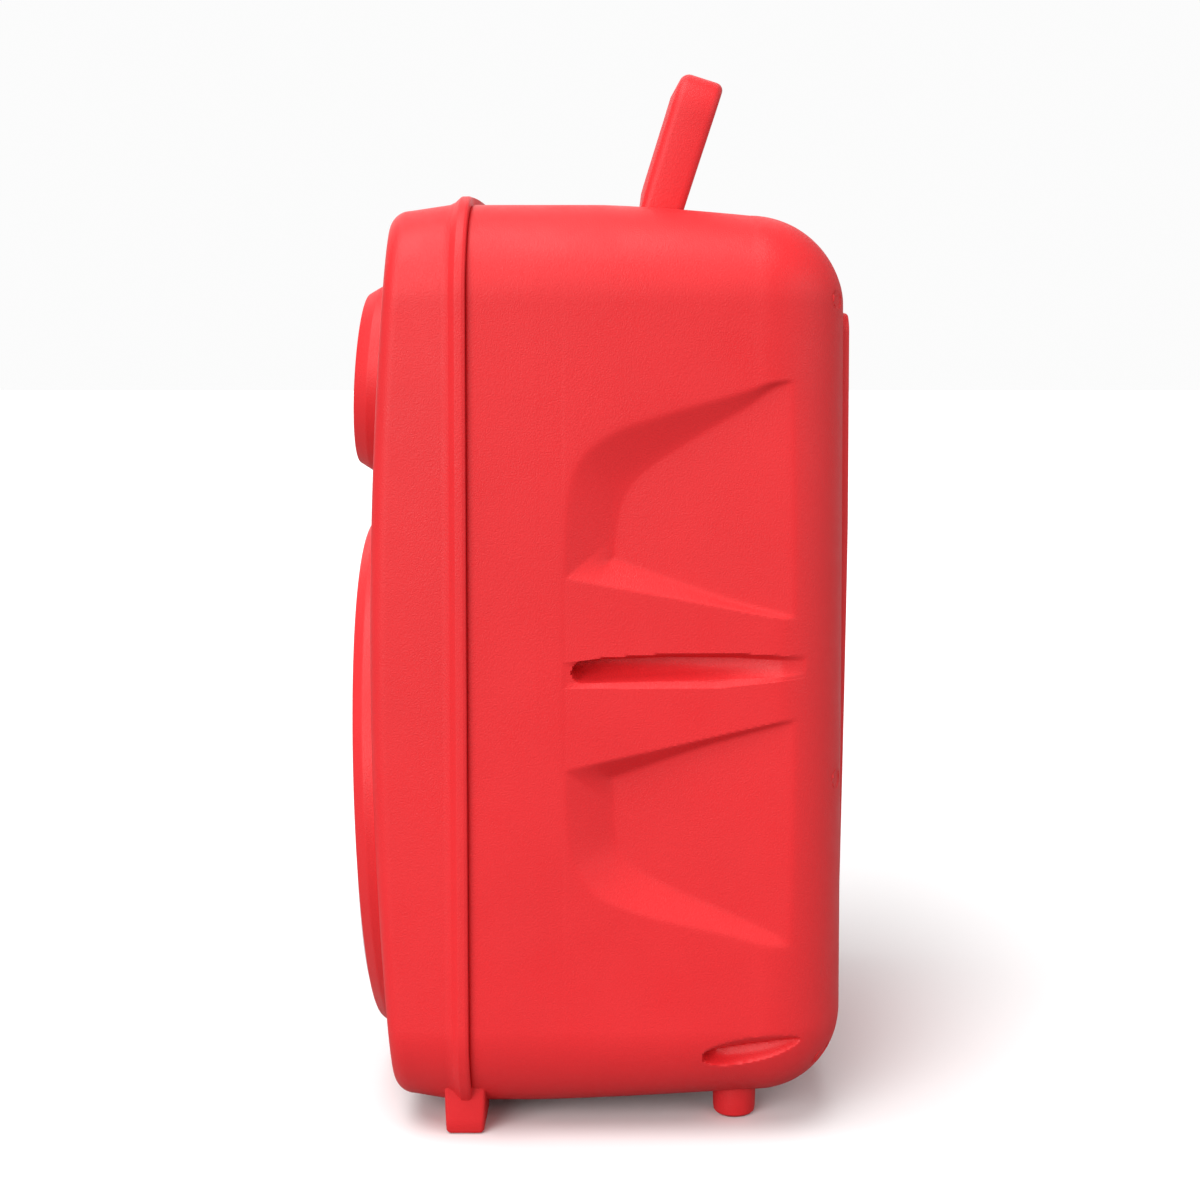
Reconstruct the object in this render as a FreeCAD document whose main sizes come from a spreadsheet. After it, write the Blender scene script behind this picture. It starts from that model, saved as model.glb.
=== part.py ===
import FreeCAD, Part
import math
import os
import re
import Sketcher

# Portable party speaker: a two-part moulded cabinet with an 8 inch woofer, a horn tweeter, a fold-down
# carrying handle and a recessed control panel on the back.
# Frame: +Z up, the front faces -Y, X across. The origin is under the middle of the object, on the floor.

doc = FreeCAD.newDocument("party_speaker")
sheet = doc.addObject("Spreadsheet::Sheet", "Sizes")
V = FreeCAD.Vector

SIZES = {
    # cabinet
    "cabinet_half_width": 125, "cabinet_bottom": 6, "cabinet_top": 366,
    "corner_radius": 40, "wall": 3, "parting_y": -47.5, "back_y": 99, "back_radius": 30,
    "front_apex_y": -92, "front_height_radius": 1806, "front_width_radius": 1045, "front_edge_drop": 10,
    "bead_width": 6, "bead_proud": 3,
    "plateau_half_width": 90, "plateau_bottom": 60, "plateau_top": 322, "plateau_y": 103,
    # sculpted flanks of the rear shell
    "flank_depth": 6, "flank_front": -10, "flank_back": 84, "slot_depth": 9, "slot_middle": 185,
    # screw towers
    "tower_x": 104, "tower_radius": 6, "tower_low": 30, "tower_mid": 140, "tower_high": 328,
    "case_screw_radius": 1.5, "case_head_radius": 3.2, "case_screw_length": 18,
    # handle
    "pivot_y": 25.5, "pivot_z": 358, "handle_lean": 17.7, "handle_half_width": 75,
    "arm_depth": 16, "arm_thickness": 13, "grip_height": 15, "handle_reach": 65.4, "pin_radius": 3,
    "recess_half_width": 76, "recess_front": -43.5, "recess_back": 36.8, "recess_floor": 346,
    "ear_thickness": 4,
    # feet
    "front_foot_x": 99, "front_foot_length": 28, "front_foot_y": -50.2, "front_foot_depth": 15,
    "front_foot_height": 20, "rear_foot_x": 89, "rear_foot_y": 57, "rear_foot_radius": 8.7,
    # woofer, on an axis along Y
    "woofer_z": 124, "woofer_ledge_y": -76, "ledge": 4, "ring_radius": 112, "ring_bore": 104.5,
    "ring_front_y": -94, "woofer_cutout": 92, "flange_radius": 103.5, "woofer_screw_radius": 98,
    "coil_inner": 18.2, "coil_outer": 19, "cone_radius": 77,
    # tweeter, on an axis along Y
    "tweeter_z": 297, "tweeter_ledge_y": -84, "tweeter_ring_radius": 40.5, "tweeter_bore": 33,
    "tweeter_front_y": -103, "tweeter_cutout": 24, "tweeter_screw_radius": 29,
    # control panel
    "panel_half_width": 84, "panel_bottom": 154, "panel_top": 276, "panel_floor": 87, "panel_thickness": 3,
    "panel_opening_inset": 7, "panel_gap": 0.3, "panel_screw_inset": 3.5,
    "board_y": 70, "board_thickness": 1.6,
    "knob_radius": 8.5, "volume_radius": 13, "knob_height": 11.5, "shaft_radius": 3, "shaft_clearance": 0.05,
    "button_radius": 5, "button_gap": 0.25, "button_z": 238,
    "rocker_half_width": 5.6, "rocker_half_height": 8.6, "rocker_x": -67, "rocker_z": 176,
    "rocker_pin_radius": 1.2, "rocker_pin_clearance": 0.08,
    "socket_z": 172, "aux_x": 2, "microphone_x": 27, "inlet_x": 56, "lamp_x": 72, "plug_gap": 0.2,
    "aux_radius": 3.9, "aux_bore": 1.8, "microphone_radius": 5.9, "microphone_bore": 3.25,
    "inlet_radius": 5.4, "inlet_bore": 2.85, "inlet_pin": 1.05, "lamp_radius": 2,
    # inside
    "battery_half_width": 45, "battery_front": 18, "battery_back": 68, "battery_top": 62,
}
for row, (alias, value) in enumerate(SIZES.items(), 1):
    sheet.set(f"A{row}", alias)
    sheet.set(f"B{row}", str(value))
    sheet.setAlias(f"B{row}", alias)
doc.recompute()

FUNCTIONS = {"cos", "sin", "tan", "sqrt"}
subparts = []


def formula(text):
    """Turn 'wall + 2' into the sheet's own form, 'Sizes.wall + 2'."""
    def cell(match):
        word = match.group(0)
        return word if word in FUNCTIONS else f"Sizes.{word}"
    return re.sub(r"[a-z_]{2,}", cell, str(text))


def value(text):
    return float(sheet.evalExpression(formula(text)))


def bind(item, prop, text):
    item.setExpression(prop, formula(text))


def place(item, at, turn=None):
    if turn is not None:
        item.Placement = FreeCAD.Placement(V(0, 0, 0), turn)
    for axis, text in zip("xyz", at):
        bind(item, f"Placement.Base.{axis}", text)
    return item


def subpart(item, label):
    item.Label = label
    subparts.append(item)
    return item


# ---------------------------------------------------------------- primitives and booleans

ALONG = {"x": FreeCAD.Rotation(V(0, 1, 0), 90), "y": FreeCAD.Rotation(V(1, 0, 0), -90), "z": FreeCAD.Rotation()}


def block(low, high):
    """A box from its lowest to its highest corner."""
    item = doc.addObject("Part::Box", "block")
    for prop, a, b in zip(("Length", "Width", "Height"), low, high):
        bind(item, prop, f"({b}) - ({a})")
    return place(item, low)


def rod(radius, length, start, along="y"):
    item = doc.addObject("Part::Cylinder", "rod")
    bind(item, "Radius", radius)
    bind(item, "Height", length)
    return place(item, start, ALONG[along])


def taper(radius, far_radius, length, start, along="y"):
    item = doc.addObject("Part::Cone", "taper")
    bind(item, "Radius1", radius)
    bind(item, "Radius2", far_radius)
    bind(item, "Height", length)
    return place(item, start, ALONG[along])


def ball(radius, centre):
    item = doc.addObject("Part::Sphere", "ball")
    bind(item, "Radius", radius)
    return place(item, centre)


def fuse(*items):
    if len(items) == 1:
        return items[0]
    item = doc.addObject("Part::MultiFuse", "fused")
    item.Shapes = list(items)
    return item


def cut(base, *tools):
    item = doc.addObject("Part::Cut", "cut")
    item.Base = base
    item.Tool = fuse(*tools)
    return item


def common(one, other):
    item = doc.addObject("Part::Common", "common")
    item.Base = one
    item.Tool = other
    return item


def group(*items):
    """Separate solids that share one node, such as a set of screws."""
    item = doc.addObject("Part::Compound", "group")
    item.Links = list(items)
    return item


# ---------------------------------------------------------------- sketched bodies

def new_body(at=(0, 0, 0)):
    return place(doc.addObject("PartDesign::Body", "body"), at)


def sketch_on(body, plane):
    sketch = body.newObject("Sketcher::SketchObject", "outline")
    origin = [face for face in body.Origin.OriginFeatures if face.Role == plane][0]
    sketch.AttachmentSupport = (origin, "")
    sketch.MapMode = "FlatFace"
    return sketch


def outline(sketch, corners):
    """A closed outline through corners. A corner (a, b) ends a line; (a, b, radius) ends an arc that bulges
    to the right of the way it is drawn, or with a minus before the radius to the left."""
    places = [(value(corner[0]), value(corner[1])) for corner in corners]
    for index, corner in enumerate(corners):
        start = V(*places[index - 1], 0)
        end = V(*places[index], 0)
        if len(corner) == 2:
            sketch.addGeometry(Part.LineSegment(start, end))
            continue
        radius = abs(value(corner[2]))
        chord = end - start
        side = V(chord.y, -chord.x, 0).normalize() * (-1 if corner[2].startswith("-") else 1)
        rise = radius - math.sqrt(radius ** 2 - (chord.Length / 2) ** 2)
        sketch.addGeometry(Part.Arc(start, (start + end) / 2 + side * rise, end))
    ends = []
    for index in range(len(corners)):
        start = V(*places[index - 1], 0)
        first = sketch.getPoint(index, 1)
        ends.append((1, 2) if (first - start).Length < 1e-6 else (2, 1))
    for index in range(len(corners)):
        following = (index + 1) % len(corners)
        joined = (index, ends[index][1], following, ends[following][0])
        sketch.addConstraint(Sketcher.Constraint("Coincident", *joined))
    for index, corner in enumerate(corners):
        for kind, text, number in zip(("DistanceX", "DistanceY"), corner, places[index]):
            tie = sketch.addConstraint(Sketcher.Constraint(kind, -1, 1, index, ends[index][1], number))
            sketch.setExpression(f"Constraints[{tie}]", formula(text))
        if len(corner) == 3:
            radius = corner[2].lstrip("-")
            tie = sketch.addConstraint(Sketcher.Constraint("Radius", index, value(radius)))
            sketch.setExpression(f"Constraints[{tie}]", formula(radius))


def turned(corners, at=(0, 0, 0)):
    """A body of revolution about an axis along Y through at. Its corners are (y, radius)."""
    body = new_body(at)
    sketch = sketch_on(body, "YZ_Plane")
    outline(sketch, corners)
    spin = body.newObject("PartDesign::Revolution", "spin")
    spin.Profile = sketch
    spin.ReferenceAxis = (sketch, ["H_Axis"])
    spin.Angle = 360
    return body


def padded(plane, corners, length, at=(0, 0, 0), both_ways=False):
    body = new_body(at)
    sketch = sketch_on(body, plane)
    outline(sketch, corners)
    pad = body.newObject("PartDesign::Pad", "pad")
    pad.Profile = sketch
    bind(pad, "Length", length)
    pad.SideType = "Symmetric" if both_ways else "One side"
    pad.Reversed = plane == "XZ_Plane" and not both_ways
    return body


def rounded(body, radius, wanted):
    """Round the edges of the body's last feature that wanted() picks."""
    doc.recompute()
    base = body.Tip
    names = [f"Edge{number}" for number, edge in enumerate(base.Shape.Edges, 1) if wanted(edge)]
    fillet = body.newObject("PartDesign::Fillet", "rounding")
    fillet.Base = (base, names)
    bind(fillet, "Radius", radius)
    return body


def runs_along_y(edge):
    ends = edge.Vertexes
    if len(ends) != 2:
        return False
    way = ends[1].Point - ends[0].Point
    return way.Length > 1 and abs(abs(way.y) - way.Length) < 1e-6


def box_prism(inset, start, length, proud="0"):
    """The cabinet's front-view outline, drawn inset from the outside, pushed back along Y from start."""
    half = f"cabinet_half_width - ({inset}) + ({proud})"
    low = f"cabinet_bottom + ({inset}) - ({proud})"
    high = f"cabinet_top - ({inset}) + ({proud})"
    corners = [(f"-({half})", low), (half, low), (half, high), (f"-({half})", high)]
    body = padded("XZ_Plane", corners, length, at=(0, start, 0))
    return rounded(body, f"corner_radius - ({inset}) + ({proud})", runs_along_y)


# ---------------------------------------------------------------- cabinet

def bowed_block(inset):
    """A block whose front is bowed in height and in width, inset from the outside of the cabinet."""
    axis_y = "front_apex_y + front_width_radius"
    front = f"{inset} - front_width_radius + front_edge_drop"
    middle = "(cabinet_top + cabinet_bottom) / 2"
    body = new_body((0, axis_y, 0))
    sketch = sketch_on(body, "YZ_Plane")
    rear = f"parting_y + 25 - ({axis_y})"
    outline(sketch, [(rear, f"{middle} - 190"), (rear, f"{middle} + 190"), (front, f"{middle} + 190"),
                     (front, f"{middle} - 190", f"front_height_radius - {inset}")])
    spin = body.newObject("PartDesign::Revolution", "spin")
    spin.Profile = sketch
    spin.ReferenceAxis = (sketch, ["V_Axis"])
    spin.Angle = 16
    spin.Midplane = True
    return body


def well(z, radius, ledge_y, ledge, opening, screws, screw_circle, screw_hole):
    """A round seat for a driver in the baffle: the pan behind it, and the tools that cut it out."""
    pan = rod(f"{radius} + 3.5", f"{ledge_y} + {ledge} + 100", (0, "-100", z))
    seat = rod(f"{radius} + 0.3", f"{ledge_y} + 120", (0, "-120", z))
    hole = rod(opening, 60, (0, "-110", z))
    pilots = around(z, screws, screw_circle, lambda at: rod(screw_hole, 30, (at[0], ledge_y, at[1])))
    return pan, [seat, hole] + pilots


def dome(half_width, rise):
    """The radius of the sphere whose cap is half_width wide from its axis and rise high."""
    return f"(({half_width}) ^ 2 + ({rise}) ^ 2) / (2 * ({rise}))"


def around(z, count, radius, make, start_angle=22.5):
    """Call make((x, z)) for count places on a circle about the axis at height z."""
    made = []
    for index in range(count):
        angle = start_angle + 360 * index / count
        made.append(make((f"{radius} * cos({angle})", f"{z} + {radius} * sin({angle})")))
    return made


TOWERS = [(side, height) for side in (-1, 1) for height in ("tower_low", "tower_mid", "tower_high")]


def at_towers(make):
    return [make(f"{side} * tower_x", height) for side, height in TOWERS]


def front_shell():
    outside = common(box_prism("0", "-110", "parting_y + 110"), bowed_block("0"))
    bead = box_prism("0", "parting_y - bead_width", "bead_width", "bead_proud")
    inside = common(box_prism("wall", "-110", "parting_y + 120"), bowed_block("wall"))
    woofer_pan, woofer_tools = well("woofer_z", "ring_radius", "woofer_ledge_y", "ledge", "woofer_cutout",
                                    8, "woofer_screw_radius", "1.6")
    tweeter_pan, tweeter_tools = well("tweeter_z", "tweeter_ring_radius", "tweeter_ledge_y", "ledge",
                                      "tweeter_cutout", 4, "tweeter_screw_radius", "1.3")
    posts = at_towers(lambda x, z: rod("tower_radius", 60, (x, "parting_y - 60", z)))
    cavity = cut(inside, woofer_pan, tweeter_pan, *posts)
    pilots = at_towers(lambda x, z: rod("case_screw_radius", 14, (x, "parting_y - 14", z)))
    shell = cut(fuse(outside, bead), cavity, *woofer_tools, *tweeter_tools, *pilots)
    return subpart(shell, "front_shell")


def flank_areas():
    """The C-shaped sculpture of a flank as (outline, depth): above, below, the slot and the low eye."""
    above = [("flank_back", "301"), ("48", "292"), ("10", "279"), ("flank_front + 4", "264"),
             ("flank_front", "252"), ("flank_front", "221"), ("flank_back - 3", "203")]
    below = [("flank_front", "148"), ("flank_back - 5", "168"), ("flank_back", "74"), ("46", "82"), ("11", "92"),
             ("-4", "105"), ("flank_front", "116")]
    slot = [("flank_front + 3", "slot_middle - 5"), ("47", "slot_middle - 6.5"), ("80", "slot_middle - 3"),
            ("80", "slot_middle + 4"), ("47", "slot_middle + 7"), ("flank_front + 3", "slot_middle + 5")]
    low_eye = [("43", "32"), ("51", "38"), ("76", "37"), ("62", "30")]
    return [(above, "flank_depth"), (below, "flank_depth"), (slot, "slot_depth"), (low_eye, "slot_depth")]


def flank_cuts(side):
    """Blocks of the sculpture's outlines, reaching from their floor to just outside the flank on one side."""
    made = []
    for corners, depth in flank_areas():
        start = f"cabinet_half_width - {depth}" if side > 0 else "-cabinet_half_width - 2"
        made.append(padded("YZ_Plane", corners, f"{depth} + 2", at=(start, 0, 0)))
    return made


def lies_behind(y):
    """A test for the edges that lie behind y."""
    def test(edge):
        return edge.BoundBox.YMin > value(y) - 0.01
    return test


def rear_shell():
    outside = rounded(box_prism("0", "parting_y", "back_y - parting_y"), "back_radius", lies_behind("back_y"))
    inside = rounded(box_prism("wall", "parting_y - 5", "back_y - wall - parting_y + 5"), "back_radius - wall",
                     lies_behind("back_y - wall"))
    plateau = block(("-plateau_half_width", "back_y - 12", "plateau_bottom"),
                    ("plateau_half_width", "plateau_y", "plateau_top"))
    handle_pan = block(("-recess_half_width - wall - ear_thickness", "recess_front - wall", "recess_floor - wall"),
                       ("recess_half_width + wall + ear_thickness", "recess_back + wall", "cabinet_top"))
    panel_pan = block(("-panel_half_width - wall", "panel_floor - wall", "panel_bottom - wall"),
                      ("panel_half_width + wall", "back_y", "panel_top + wall"))
    flank_pans = [block((f"{x}", "flank_front - wall", "24"), (f"{x} + 12 - wall", "flank_back + wall", "304"))
                  for x in ("cabinet_half_width - 12", "-cabinet_half_width + wall")]
    towers = at_towers(lambda x, z: rod("tower_radius", "back_y - parting_y", (x, "parting_y", z)))
    cavity = cut(inside, handle_pan, panel_pan, *flank_pans, *towers)
    handle_recess = block(("-recess_half_width", "recess_front", "recess_floor"),
                          ("recess_half_width", "recess_back", "cabinet_top + 5"))
    panel_recess = block(("-panel_half_width", "panel_floor", "panel_bottom"),
                         ("panel_half_width", "plateau_y + 5", "panel_top"))
    inset = "panel_opening_inset"
    opening = block((f"-panel_half_width + {inset}", "panel_floor - 10", f"panel_bottom + {inset}"),
                    (f"panel_half_width - {inset}", "plateau_y", f"panel_top - {inset}"))
    screw_holes = at_towers(lambda x, z: rod("case_screw_radius + 0.2", 200, (x, "parting_y - 1", z)))
    head_wells = at_towers(lambda x, z: rod("case_head_radius + 0.5", 200, (x, "parting_y + 5", z)))
    pin_bores = [rod("pin_radius", "ear_thickness + 2", (x, "pivot_y", "pivot_z"), "x")
                 for x in ("recess_half_width - 1", "-recess_half_width - ear_thickness - 1")]
    flanks = flank_cuts(1) + flank_cuts(-1)
    panel_pilots = at_panel_corners(lambda x, z: rod("1.2", 5, (x, "panel_floor - 2.5", z)))
    body = cut(fuse(outside, plateau), cavity, handle_recess, panel_recess, opening, *screw_holes, *head_wells,
               *pin_bores, *flanks, *panel_pilots)
    return subpart(body, "rear_shell")


def shell_gasket():
    """A foam cord lying inside the bead, against the inner edge of the joint between the shells."""
    ring = cut(box_prism("wall + 0.4", "parting_y - 1.5", "2.3"), box_prism("wall + 2.4", "parting_y - 5", "10"))
    clear = at_towers(lambda x, z: rod("tower_radius + 0.4", 20, (x, "parting_y - 10", z)))
    return subpart(cut(ring, *clear), "shell_gasket")


def screw(radius, length, head_radius, head_height, seat, point_y_sign=-1):
    """A screw along Y whose head sits on seat (x, y, z), with its point towards -Y or +Y."""
    x, y, z = seat
    shank_y = f"{y} - ({length})" if point_y_sign < 0 else y
    head_y = y if point_y_sign < 0 else f"{y} - ({head_height})"
    shank = rod(radius, length, (x, shank_y, z))
    head = rod(head_radius, head_height, (x, head_y, z))
    slot_y = f"{y} + {head_height} - 1" if point_y_sign < 0 else f"{y} - ({head_height})"
    slots = [block((f"{x} - {a}", slot_y, f"{z} - {b}"), (f"{x} + {a}", f"{slot_y} + 1", f"{z} + {b}"))
             for a, b in ((1.8, 0.4), (0.4, 1.8))]
    return cut(fuse(shank, head), *slots)


def case_screws():
    made = at_towers(lambda x, z: screw("case_screw_radius", "case_screw_length", "case_head_radius", 2.4,
                                        (x, "parting_y + 5", z)))
    return subpart(group(*made), "case_screws")


# ---------------------------------------------------------------- woofer and tweeter

WOOFER = (0, 0, "woofer_z")
TWEETER = (0, 0, "tweeter_z")


def woofer():
    front = "ring_front_y"
    subpart(turned([("-76", "104.5"), ("-76", "ring_radius"), (f"{front} + 4", "ring_radius"),
                    (front, "ring_radius - 3.5"), (front, "ring_bore + 1"), (f"{front} + 1", "ring_bore")],
                   WOOFER), "woofer_ring")
    subpart(turned([("-80.6", "100.4"), ("-80.6", "104.2"), ("-92.4", "104.2"), ("-92.4", "100.4")], WOOFER),
            "led_ring")
    subpart(turned([("-80.8", "98.8"), ("-80.8", "100"), ("-90", "100"), ("-90", "0"), ("-89", "0"),
                    ("-89", "98.8")], WOOFER), "woofer_grille")
    windows = [block((f"-{a}", "-70", f"woofer_z - {b}"), (a, "-42", f"woofer_z + {b}"))
               for a, b in (("18", "120"), ("120", "18"))]
    frame = turned([("-77.5", "88"), ("-77.5", "flange_radius"), ("-76", "flange_radius"), ("-76", "91.2"),
                    ("-72", "91.2"), ("-30", "53"), ("-27.5", "53"), ("-27.5", "25"), ("-29", "25"), ("-29", "46"),
                    ("-35", "46"), ("-35", "52"), ("-70", "88")], WOOFER)
    screw_holes = around("woofer_z", 8, "woofer_screw_radius", lambda at: rod("2", 8, (at[0], "-80", at[1])))
    subpart(cut(frame, *windows, *screw_holes), "woofer_basket")
    roll = turned([("-77.6", "cone_radius - 4"), ("-77.6", "94.7"), ("-78.4", "94.7"), ("-78.4", "92"),
                   ("-78.4", "cone_radius + 3", "6.5"), ("-78.4", "cone_radius - 4")], WOOFER)
    subpart(cut(roll, turned([("-70", "cone_radius + 3.8"), ("-70", "91.2"), ("-77.9", "91.2"),
                              ("-77.9", "cone_radius + 3.8", "5.7")], WOOFER)), "woofer_surround")
    subpart(turned([("-77.4", "cone_radius - 3.6"), ("-77.4", "cone_radius"), ("-76.2", "cone_radius"),
                    ("-47", "19.4"), ("-49", "19.4"), ("-76.6", "74.5")], WOOFER), "woofer_cone")
    inner_dome = f"-{dome('22.6', '9')}"
    subpart(turned([("-51.7", "24.4"), ("-62.7", "0", dome("24.4", "11")), ("-60.7", "0"),
                    ("-51.7", "22.6", inner_dome)], WOOFER), "dust_cap")
    subpart(turned([("-49", "coil_inner"), ("-49", "coil_outer"), ("-24", "coil_outer"), ("-24", "coil_inner")],
                   WOOFER), "voice_coil")
    subpart(turned([("-36", "coil_outer + 0.1"), ("-35.2", "coil_outer + 0.1"), ("-35.2", "51.6"), ("-36", "51.6")],
                   WOOFER),
            "woofer_spider")
    subpart(turned([("-27.3", "coil_outer + 0.9"), ("-27.3", "45"), ("-22.5", "45"), ("-22.5", "coil_outer + 0.9")],
                   WOOFER), "woofer_top_plate")
    subpart(turned([("-22.5", "25"), ("-22.5", "50"), ("-7.5", "50"), ("-7.5", "25")], WOOFER), "woofer_magnet")
    subpart(turned([("-26", "0"), ("-26", "coil_inner - 0.8"), ("-7.5", "coil_inner - 0.8"), ("-7.5", "45"),
                    ("-2.5", "45"), ("-2.5", "0")], WOOFER), "woofer_pole")
    made = around("woofer_z", 8, "woofer_screw_radius",
                  lambda at: screw_in("1.6", "9", "3", "2", (at[0], "-77.5", at[1])))
    subpart(group(*made), "woofer_screws")


def screw_in(radius, length, head_radius, head_height, seat):
    """A screw driven towards +Y, from the front."""
    return screw(radius, length, head_radius, head_height, seat, point_y_sign=1)


def tweeter():
    subpart(turned([("tweeter_ledge_y", "tweeter_bore + 1"), ("tweeter_ledge_y", "tweeter_ring_radius"),
                    ("tweeter_front_y + 5", "tweeter_ring_radius"), ("tweeter_front_y", "tweeter_ring_radius - 4"),
                    ("tweeter_front_y", "tweeter_bore + 1.5"), ("tweeter_front_y + 2", "tweeter_bore + 1")],
                   TWEETER), "tweeter_ring")
    horn = turned([("-86", "33.5"), ("-84", "33.5"), ("-84", "23.6"), ("-72", "20"), ("-72", "12.3"), ("-74", "12.1"),
                   ("-84.5", "19"), ("-86", "25")], TWEETER)
    holes = around("tweeter_z", 4, "tweeter_screw_radius", lambda at: rod("1.5", 8, (at[0], "-90", at[1])))
    subpart(cut(horn, *holes), "tweeter_horn")
    subpart(turned([("-72", "0"), ("-72", "11.8"), ("-73", "11.8"), ("-76.5", "0", dome("11.8", "3.5"))],
                   TWEETER), "tweeter_dome")
    subpart(turned([("-71.7", "0"), ("-71.7", "22"), ("-58", "22"), ("-58", "0")], TWEETER), "tweeter_magnet")
    made = around("tweeter_z", 4, "tweeter_screw_radius",
                  lambda at: screw_in("1.3", "7", "2.6", "1.8", (at[0], "-86", at[1])))
    subpart(group(*made), "tweeter_screws")
    subpart(turned([("-88.5", "31.6"), ("-88.5", "32.8"), ("-99", "32.8"), ("-99", "0"), ("-98", "0"),
                    ("-98", "31.6")], TWEETER), "tweeter_grille")


# ---------------------------------------------------------------- handle and feet

def handle():
    """A bail: two arms and a grip, leaning back on its stop. Drawn upright at the pivot, then leaned."""
    half, arm = "handle_half_width", "arm_thickness"
    upright = [block((x, "-arm_depth / 2", 0), (f"{x} + {arm}", "arm_depth / 2", "handle_reach"))
               for x in (f"{half} - {arm}", f"-{half}")]
    grip = block((f"-{half}", "-arm_depth / 2", "handle_reach - grip_height"),
                 (half, "arm_depth / 2", "handle_reach"))
    ends = [rod("arm_depth / 2", arm, (x, 0, 0), "x") for x in (f"{half} - {arm}", f"-{half}")]
    bores = [rod("pin_radius + shaft_clearance", f"{arm} + 2", (x, 0, 0), "x")
             for x in (f"{half} - {arm} - 1", f"-{half} - 1")]
    bail = cut(fuse(*upright, grip, *ends), *bores)
    lean = doc.addObject("Part::Compound", "lean")
    lean.Links = [bail]
    lean.Placement = FreeCAD.Placement(V(0, 0, 0), FreeCAD.Rotation(V(1, 0, 0), -value("handle_lean")))
    place(lean, (0, "pivot_y", "pivot_z"))
    subpart(lean, "handle")
    pins = []
    for start in ("handle_half_width - arm_thickness - 1.5", "-recess_half_width - ear_thickness"):
        length = "recess_half_width + ear_thickness - handle_half_width + arm_thickness + 1.5"
        pins.append(rod("pin_radius", length, (start, "pivot_y", "pivot_z"), "x"))
    subpart(group(*pins), "handle_pins")


def feet():
    bars = []
    for side in (-1, 1):
        x = f"{side} * front_foot_x"
        low = (f"{x} - front_foot_length / 2", "front_foot_y - front_foot_depth / 2", "0")
        high = (f"{x} + front_foot_length / 2", "front_foot_y + front_foot_depth / 2", "front_foot_height")
        bars.append(block(low, high))
    bead = box_prism("0", "parting_y - bead_width - 0.2", "bead_width + 0.4", "bead_proud + 0.2")
    subpart(cut(group(*bars), box_prism("-0.1", "-70", "60"), bead), "front_feet")
    pegs = [rod("rear_foot_radius", "24", (f"{side} * rear_foot_x", "rear_foot_y", "0"), "z") for side in (-1, 1)]
    subpart(cut(group(*pegs), box_prism("-0.1", "-20", "110")), "rear_feet")


# ---------------------------------------------------------------- control panel

KNOBS = {"volume_knob": ("0", "232", "volume_radius"), "microphone_knob": ("-62", "206", "knob_radius"),
         "echo_knob": ("-31", "206", "knob_radius"), "bass_knob": ("31", "206", "knob_radius"),
         "treble_knob": ("62", "206", "knob_radius")}
BUTTONS = {"mode_button": "-67", "previous_button": "-47", "play_button": "47", "next_button": "67"}
BUTTON_Z = "button_z"
FACE = "panel_floor + panel_thickness"


def at_panel_corners(make):
    """The panel's six screws: four corners and the middle of the sides."""
    return [make(f"{side} * (panel_half_width - panel_screw_inset)", height) for side in (-1, 1)
            for height in ("panel_bottom + panel_screw_inset", "(panel_bottom + panel_top) / 2",
                           "panel_top - panel_screw_inset")]


def panel():
    low = ("-panel_half_width + panel_gap", "panel_floor", "panel_bottom + panel_gap")
    high = ("panel_half_width - panel_gap", FACE, "panel_top - panel_gap")
    shaft_holes = [rod("shaft_radius + 0.6", "10", (x, "panel_floor - 3", z)) for x, z, _ in KNOBS.values()]
    button_holes = [rod("button_radius + button_gap", "10", (x, "panel_floor - 3", BUTTON_Z))
                    for x in BUTTONS.values()]
    screw_holes = at_panel_corners(lambda x, z: rod("1.6", "10", (x, "panel_floor - 3", z)))
    cutouts = [
        through("-26", "26", "252", "268"),          # display
        through("-75.5", "-58.5", "163", "189"),     # rocker bezel
        through("-46.8", "-33.2", "168", "175.6"),   # USB socket
        through("-28", "-12", "170", "173.4"),       # card slot
        rod("aux_radius + plug_gap", "10", ("aux_x", "panel_floor - 3", "socket_z")),
        rod("microphone_radius + plug_gap", "10", ("microphone_x", "panel_floor - 3", "socket_z")),
        rod("inlet_radius + plug_gap", "10", ("inlet_x", "panel_floor - 3", "socket_z")),
        rod("lamp_radius + 0.1", "10", ("lamp_x", "panel_floor - 3", "socket_z")),
    ]
    subpart(cut(block(low, high), *shaft_holes, *button_holes, *screw_holes, *cutouts), "rear_panel")
    made = at_panel_corners(lambda x, z: screw("1.2", "5.5", "2.6", "1.6", (x, FACE, z)))
    subpart(group(*made), "panel_screws")
    subpart(fuse(block(("-25.7", "panel_floor - 1", "252.3"), ("25.7", f"{FACE} + 0.3", "267.7")),
                 block(("-28", "panel_floor - 2", "250.5"), ("28", "panel_floor", "268.6"))), "display_window")
    subpart(block(("-24", "board_y + board_thickness", "252"), ("24", "panel_floor - 2.2", "268")), "display_module")


def through(x_low, x_high, z_low, z_high):
    return block((x_low, "panel_floor - 3", z_low), (x_high, "panel_floor + 7", z_high))


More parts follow.
